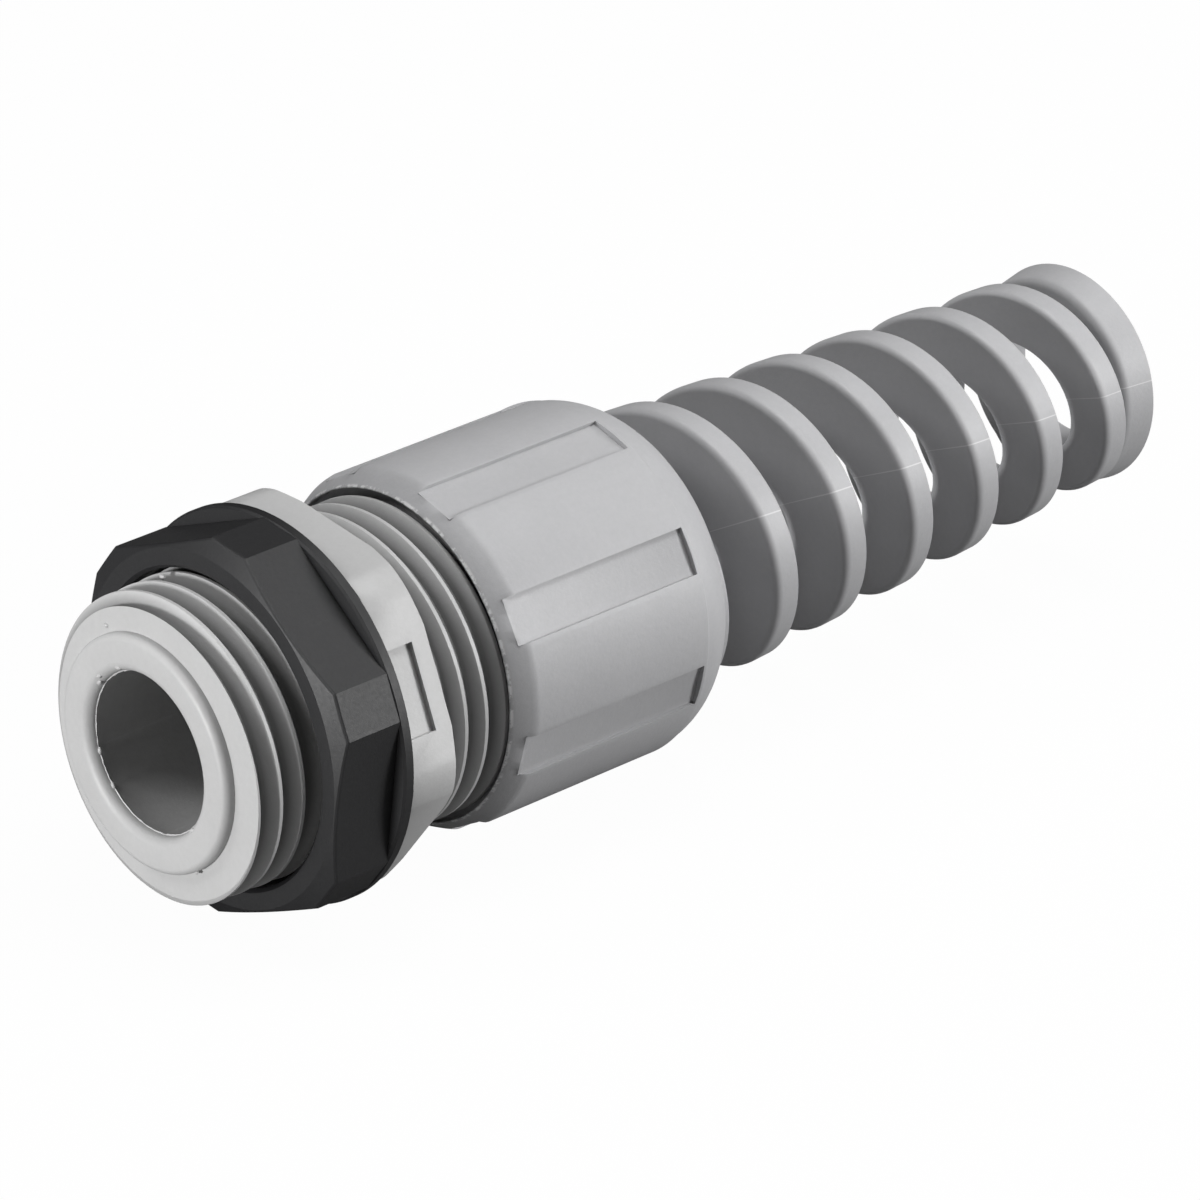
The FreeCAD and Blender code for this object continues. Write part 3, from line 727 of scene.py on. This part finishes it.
class Nodes:
    """A node tree that is filled in step by step."""

    def __init__(self, owner):
        owner.use_nodes = True
        self.tree = owner.node_tree

    def add(self, kind, settings=None, *inputs, output=0, sockets=None, **named):
        """Adds one node; inputs go to its sockets in order, others by number or by name."""
        node = self.tree.nodes.new(kind)
        for key, value in (settings or {}).items():
            setattr(node, key, value)
        for key, value in {**dict(enumerate(inputs)), **(sockets or {}), **named}.items():
            self.join(value, node.inputs[key.replace("_", " ") if isinstance(key, str) else key])
        return Value(self, node.outputs[output])

    def join(self, value, socket):
        """Links a value to a socket, or sets the socket to a constant."""
        if isinstance(value, Value):
            self.tree.links.new(value.socket, socket)
        else:
            socket.default_value = value

    def give(self, node, **named):
        """Joins values to the sockets of a node that is there already."""
        for name, value in named.items():
            self.join(value, self.tree.nodes[node].inputs[name.replace("_", " ")])

    def shown(self, node):
        """The output of a node that is there already."""
        return Value(self, self.tree.nodes[node].outputs[0])


class Finish(Nodes):
    """A material round a Principled shader."""

    def __init__(self, name):
        self.material = bpy.data.materials.new(name)
        super().__init__(self.material)

    def place(self):
        """The object coordinates of the point, in metres."""
        return self.add("ShaderNodeTexCoord", output="Object")

    def position(self):
        """The three object coordinates of the point, in mm."""
        node = self.add("ShaderNodeSeparateXYZ", None, self.place()).socket.node
        return [Value(self, socket) * (1 / MM) for socket in node.outputs]

    def noise(self, size, detail=4.0, roughness=0.5, stretch=(1, 1, 1)):
        """Soft noise between 0 and 1 whose spots are about size mm across."""
        spread = self.add("ShaderNodeVectorMath", {"operation": "MULTIPLY"}, self.place(),
                          tuple(1 / (size * MM) / s for s in stretch))
        return self.add("ShaderNodeTexNoise", None, output="Fac", Vector=spread, Scale=1.0,
                        Detail=detail, Roughness=roughness)

    def fade(self, value, low, high, to_low=0.0, to_high=1.0):
        """Goes from to_low to to_high while the value goes from low to high."""
        return self.add("ShaderNodeMapRange", {"clamp": True}, value, low, high, to_low, to_high)

    def blend(self, share, one, other):
        """A colour between one and other."""
        return self.add("ShaderNodeMix", {"data_type": "RGBA"}, output=2,
                        sockets={0: share, 6: one, 7: other})

    def bump(self, height, depth):
        """A bump of that depth in mm where height goes from 0 to 1."""
        self.give("Principled BSDF", Normal=self.add(
            "ShaderNodeBump", None, Strength=1.0, Distance=depth * MM, Height=height))


print("materials before painting:", len(bpy.data.materials))

# %% [markdown]
# Moulded nylon is never one flat colour: it has faint clouds where the melt flowed, a fine satin grain and
# a few light rubs. Every piece uses the same recipe with its own colours. Two marks belong to one piece
# each. Where the halves of the mould met, a light parting line runs along the spiral, and the nut's mouth
# has a ragged light edge. On the body, shade is painted into the grooves of both threads, so that they are
# darker than their crests.

# %% Moulded finish
CLOUDS, GRAIN, RUBS, SPECKLE = 4.0, 0.25, 0.9, 0.45
CLOUD_SHARE, SPECKLE_SHARE, RUB_SHARE = 0.5, 0.3, 0.2
BUMP_DEPTH = 0.018
LINE_ANGLE, LINE_TWIST, LINE_START, LINE_SHARE = math.radians(149.0), math.radians(0.3), 41.0, 0.55
LINE_INNER, LINE_OUTER, LINE_GREY = 0.003, 0.007, (0.72, 0.72, 0.72, 1)
EDGE_INNER, EDGE_OUTER, EDGE_SHARE, EDGE_GREY = 0.08, 0.2, 0.9, (0.74, 0.74, 0.74, 1)
# painted shade in the thread grooves: the slope of its crest line, its share and its grey
CREST_SLOPE, GROOVE_SHADE_SHARE, GROOVE_SHADE_GREY = 0.04, 0.75, (0.1, 0.1, 0.1, 1)


def with_parting(finish, colour):
    """Adds the parting line along the spiral and the ragged edge at the nut's mouth."""
    along, across, upward = finish.position()
    turn = upward.math("ARCTAN2", across) - (along - LINE_START) * LINE_TWIST
    off = (turn - LINE_ANGLE).math("ABSOLUTE")
    line = (finish.fade(off, LINE_INNER, LINE_OUTER, 1, 0)
            * finish.fade(along, LINE_START, LINE_START + 1))
    colour = finish.blend(line * LINE_SHARE, colour, LINE_GREY)
    edge = finish.fade(along, NUT_FRONT + EDGE_INNER, NUT_FRONT + EDGE_OUTER, 1, 0)
    ragged = finish.fade(finish.noise(0.7, 4.0, 0.7), 0.46, 0.54)
    return finish.blend(edge * ragged * EDGE_SHARE, colour, EDGE_GREY)


def with_painted_groove_shade(finish, colour):
    """Paints shade into the grooves of both threads: darkens what lies below one sloping line close over
    their crests.
    """
    along, across, upward = finish.position()
    radius = (across * across + upward * upward).math("SQRT")
    # painted shade: the deeper a point lies below the crest line, the darker it is painted
    depth = finish.fade(along * CREST_SLOPE + ENTRY_RADIUS - radius, 0.1, 0.85)
    thread = finish.fade(along, 0.3, 0.6) * finish.fade(radius, LIP_OUTER, LIP_OUTER + 0.3)
    return finish.blend(depth * thread * GROOVE_SHADE_SHARE, colour, GROOVE_SHADE_GREY)


def moulded(name, dark, light, roughness, extra_mark_or_shade=None):
    """A satin moulding between two colours, with one more mark, such as a parting line or painted shade,
    if it has one.
    """
    finish = Finish(name)
    clouds = finish.noise(CLOUDS, 3.0)
    grain = finish.noise(GRAIN, 2.0)
    rubs = finish.fade(finish.noise(RUBS, 5.0, 0.7, stretch=(4, 1, 1)), 0.62, 0.75)
    speckle = finish.fade(finish.noise(SPECKLE, 6.0, 0.75), 0.35, 0.65)
    share = clouds * CLOUD_SHARE + speckle * SPECKLE_SHARE + rubs * RUB_SHARE
    colour = finish.blend(share, dark, light)
    # the extra step adds a real moulding mark, or painted shade in the thread grooves for the body
    if extra_mark_or_shade:
        colour = extra_mark_or_shade(finish, colour)
    finish.give("Principled BSDF", Base_Color=colour,
                Roughness=roughness + grain * 0.12 - rubs * 0.08)
    finish.bump(grain * 0.5 + clouds * 0.3 + speckle * 0.2, BUMP_DEPTH)
    return finish.material


def paint(piece, material):
    """Gives a piece this material and no other."""
    piece.data.materials.clear()
    piece.data.materials.append(material)
    print(piece.name, "is", material.name)


# the body's grey carries painted shade in the grooves of its threads
paint(gland, moulded("body grey nylon", (0.42, 0.42, 0.42, 1), (0.5, 0.5, 0.5, 1), 0.42,
                     with_painted_groove_shade))
paint(cap, moulded("nut grey nylon", (0.39, 0.39, 0.4, 1), (0.46, 0.46, 0.47, 1), 0.45,
                   with_parting))
paint(locknut, moulded("black nylon", (0.007, 0.007, 0.008, 1), (0.015, 0.015, 0.016, 1), 0.48))
paint(frame["nodes"]["sealing_bushing"],
      moulded("black rubber", (0.012, 0.012, 0.012, 1), (0.02, 0.02, 0.02, 1), 0.7))
paint(frame["nodes"]["slip_ring"],
      moulded("natural nylon", (0.62, 0.6, 0.54, 1), (0.7, 0.68, 0.62, 1), 0.4))

# %% [markdown]
# The camera stands where the photograph was taken from: its direction comes from the rims and hexagons,
# and its distance from how much smaller the far end looks than the near one. The centre of the entry ring
# falls on one known pixel, which gives the shift sideways and upwards.

# %% Camera
AZIMUTH, ELEVATION = math.radians(-43.049), math.radians(25.823)
DISTANCE, FOCAL_PIXELS, FRAME_PIXELS = 472.1, 7433.0, 1200.0
ORIGIN_PIXEL = (152.053, 752.417)
SENSOR = 36.0

back = Vector((math.sin(AZIMUTH) * math.cos(ELEVATION), -math.cos(AZIMUTH) * math.cos(ELEVATION),
               math.sin(ELEVATION)))
right = Vector((math.cos(AZIMUTH), math.sin(AZIMUTH), 0))
up = back.cross(right)
across = (ORIGIN_PIXEL[0] - FRAME_PIXELS / 2) * DISTANCE / FOCAL_PIXELS
above = (FRAME_PIXELS / 2 - ORIGIN_PIXEL[1]) * DISTANCE / FOCAL_PIXELS
eye = (back * DISTANCE - right * across - up * above) * MM
lens = bpy.data.cameras.new("camera")
lens.sensor_width = SENSOR
lens.lens = FOCAL_PIXELS / FRAME_PIXELS * SENSOR
lens.clip_start = 0.01
camera = bpy.data.objects.new("camera", lens)
camera.matrix_world = Matrix.Translation(eye) @ Matrix((right, up, back)).transposed().to_4x4()
bpy.context.scene.collection.objects.link(camera)
bpy.context.scene.camera = camera
bpy.context.scene.view_settings.view_transform = "Standard"
print("camera at", [round(c, 4) for c in eye], "lens", round(lens.lens, 1))

# %% [markdown]
# The part lies on plain white that keeps only a breath of shadow. A lit white floor would throw light on
# the part from below and still look grey. So the floor is dark to every ray but the camera's, and to the
# camera it is mostly a glow.

# %% Floor
FLOOR, FLOOR_SIZE = -FLANGE_RADIUS * MM, 3.0
STAGE_GREY, STAGE_GLOW, STAGE_SHARE = (0.2, 0.2, 0.2, 1), 1.06, 0.92


def stage_material():
    """A surface that looks white to the camera and keeps a soft shadow."""
    finish = Finish("white stage")
    finish.give("Principled BSDF", Base_Color=STAGE_GREY, Roughness=0.9)
    glow = finish.add("ShaderNodeEmission", Strength=STAGE_GLOW)
    seen = finish.add("ShaderNodeLightPath", output="Is Camera Ray")
    finish.give("Material Output", Surface=finish.add(
        "ShaderNodeMixShader", None, seen * STAGE_SHARE, finish.shown("Principled BSDF"), glow))
    return finish.material


bpy.ops.object.select_all(action="DESELECT")
bpy.ops.mesh.primitive_plane_add(size=FLOOR_SIZE, location=(0, 0, FLOOR))
floor = bpy.context.object
floor.name = "floor"
bpy.ops.object.transform_apply(location=True)
paint(floor, stage_material())

# %% [markdown]
# Soft boxes light the part plainly. One stands in front of the entry end, because the rings there are
# bright while the same faces deep in the spiral, which the nut shades, are dark. The others set how much
# lighter the top is than the sides, and each was set by comparing the grey of the same faces.

# %% Lights
MIDDLE = (40, 0, 0)
SOFT_BOXES = {  # place, size, watts
    "front box": ((-500, 30, 20), 100, 3.1),
    "front far box": ((-280, 200, 360), 160, 0.7),
    "top box": ((100, -60, 470), 240, 1.4),
    "near box": ((290, -203, 382), 200, 0.3),
    "side box": ((350, -385, 130), 160, 2.0),
}

for name, (place, size, watts) in SOFT_BOXES.items():
    lamp = bpy.data.lights.new(name, "AREA")
    lamp.shape = "SQUARE"
    lamp.size = size * MM
    lamp.energy = watts
    holder = bpy.data.objects.new(name, lamp)
    aim = (Vector(place) - Vector(MIDDLE)) * MM
    holder.matrix_world = (Matrix.Translation(Vector(place) * MM)
                           @ aim.to_track_quat("Z", "Y").to_matrix().to_4x4())
    bpy.context.scene.collection.objects.link(holder)
    print(name, watts, "W, from", round(aim.length / MM), "mm")

# %% [markdown]
# The world adds a very faint light from everywhere, so that no face is quite black. The camera sees a
# plain pale one in its place, wherever it looks past the floor.

# %% World
WORLD_LIGHT = 0.025

world = bpy.data.worlds.new("world")
bpy.context.scene.world = world
sky = Nodes(world)
sky.give("Background", Color=(1, 1, 1, 1), Strength=WORLD_LIGHT)
pale = sky.add("ShaderNodeBackground", Strength=1.0)
seen = sky.add("ShaderNodeLightPath", output="Is Camera Ray")
sky.give("World Output", Surface=sky.add(
    "ShaderNodeMixShader", None, seen, sky.shown("Background"), pale))
print("world light", WORLD_LIGHT)
